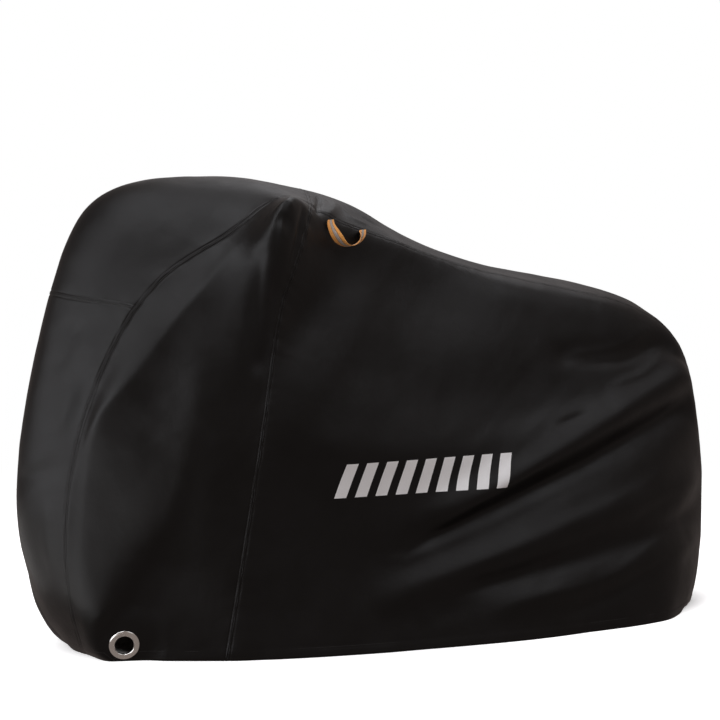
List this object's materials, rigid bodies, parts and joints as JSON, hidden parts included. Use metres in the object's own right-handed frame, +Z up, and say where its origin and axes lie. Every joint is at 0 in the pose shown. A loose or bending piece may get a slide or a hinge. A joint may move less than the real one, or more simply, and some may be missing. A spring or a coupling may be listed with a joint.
{
  "type": "bicycle cover",
  "caption": "Fitted cloth cover for a bicycle, hollow and open along its hem, with a gusset over the top, an eyelet near each front corner for a lock, and a webbing loop for hanging.",
  "frame": {"origin": "on the underside of the crown, in the cover's middle plane over the handlebar that carries it", "axes": "+X towards the handlebar end, +Y to the cover's left, where the loop is, +Z up"},
  "size_m": [1.7991, 0.744, 1.088],
  "materials": {
    "cover_cloth": "black coated polyester taffeta, finely ribbed, with a soft low sheen",
    "eyelet_metal": "polished nickel plate with fine scuffs",
    "loop_webbing": "woven webbing, orange edges with a pale grey stripe down the middle"
  },
  "bodies": {
    "root": {"front_gusset": "cover_cloth", "crown_gusset": "cover_cloth", "back_gusset": "cover_cloth", "side_front_left": "cover_cloth", "side_front_right": "cover_cloth", "side_rear_left": "cover_cloth", "side_rear_right": "cover_cloth", "eyelet_patch_left": "cover_cloth", "eyelet_patch_right": "cover_cloth", "eyelet_left": "eyelet_metal", "eyelet_right": "eyelet_metal", "webbing_loop": "loop_webbing"}
  },
  "joints": []
}
